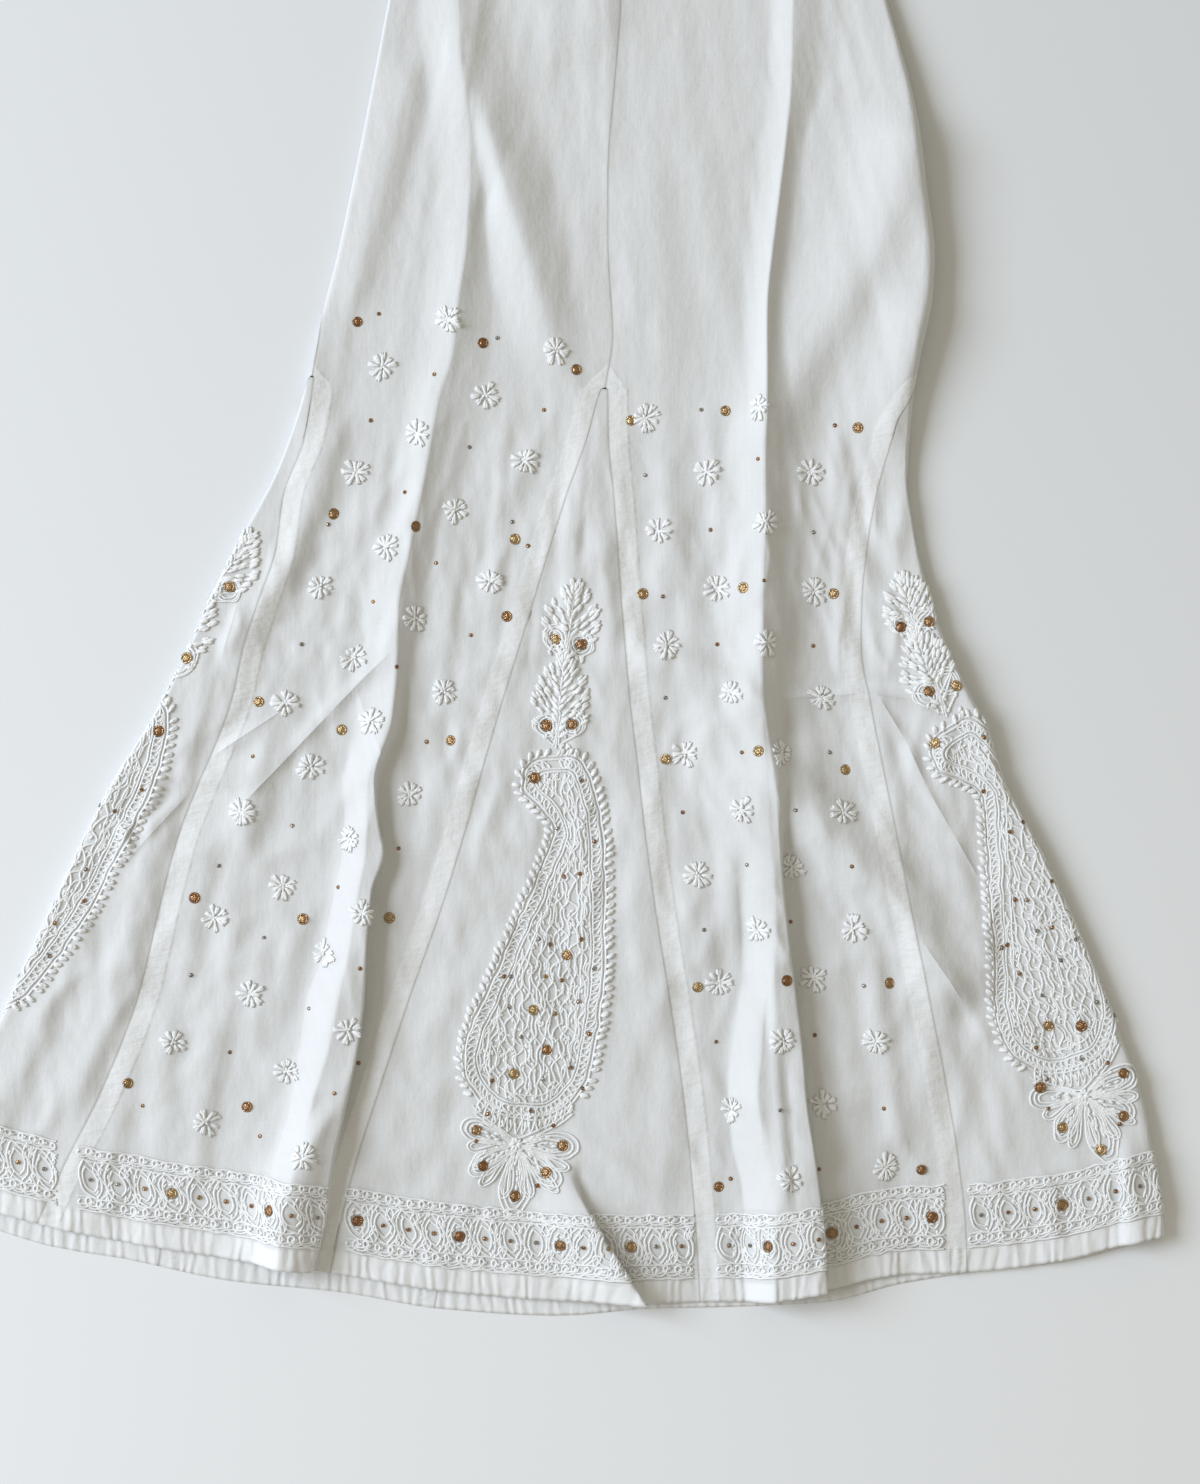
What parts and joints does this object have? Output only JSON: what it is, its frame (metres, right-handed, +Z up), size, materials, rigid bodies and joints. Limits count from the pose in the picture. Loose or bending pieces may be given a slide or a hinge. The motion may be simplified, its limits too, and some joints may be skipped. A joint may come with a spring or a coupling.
{
  "type": "long godet skirt",
  "caption": "Long flared white cotton skirt with triangular godets, embroidered paisleys and an embroidered border, laid flat on a table face up",
  "frame": {"origin": "middle of the bounding box in X and Y, on the table under the skirt", "axes": "+X to the viewer's right across the skirt, +Y from the hem to the waist, +Z up from the table"},
  "size_m": [0.9334, 1.0666, 0.0265],
  "materials": {
    "white_cotton": "matt woven cotton, white on white embroidery",
    "waistband_cotton": "matt woven cotton, gathered"
  },
  "bodies": {
    "root": {"front_left_panel": "white_cotton", "front_right_panel": "white_cotton", "front_godet": "white_cotton", "left_godet": "white_cotton", "right_godet": "white_cotton", "back_left_panel": "white_cotton", "back_right_panel": "white_cotton", "back_godet": "white_cotton", "waistband_front": "waistband_cotton", "waistband_back": "waistband_cotton"}
  },
  "joints": []
}
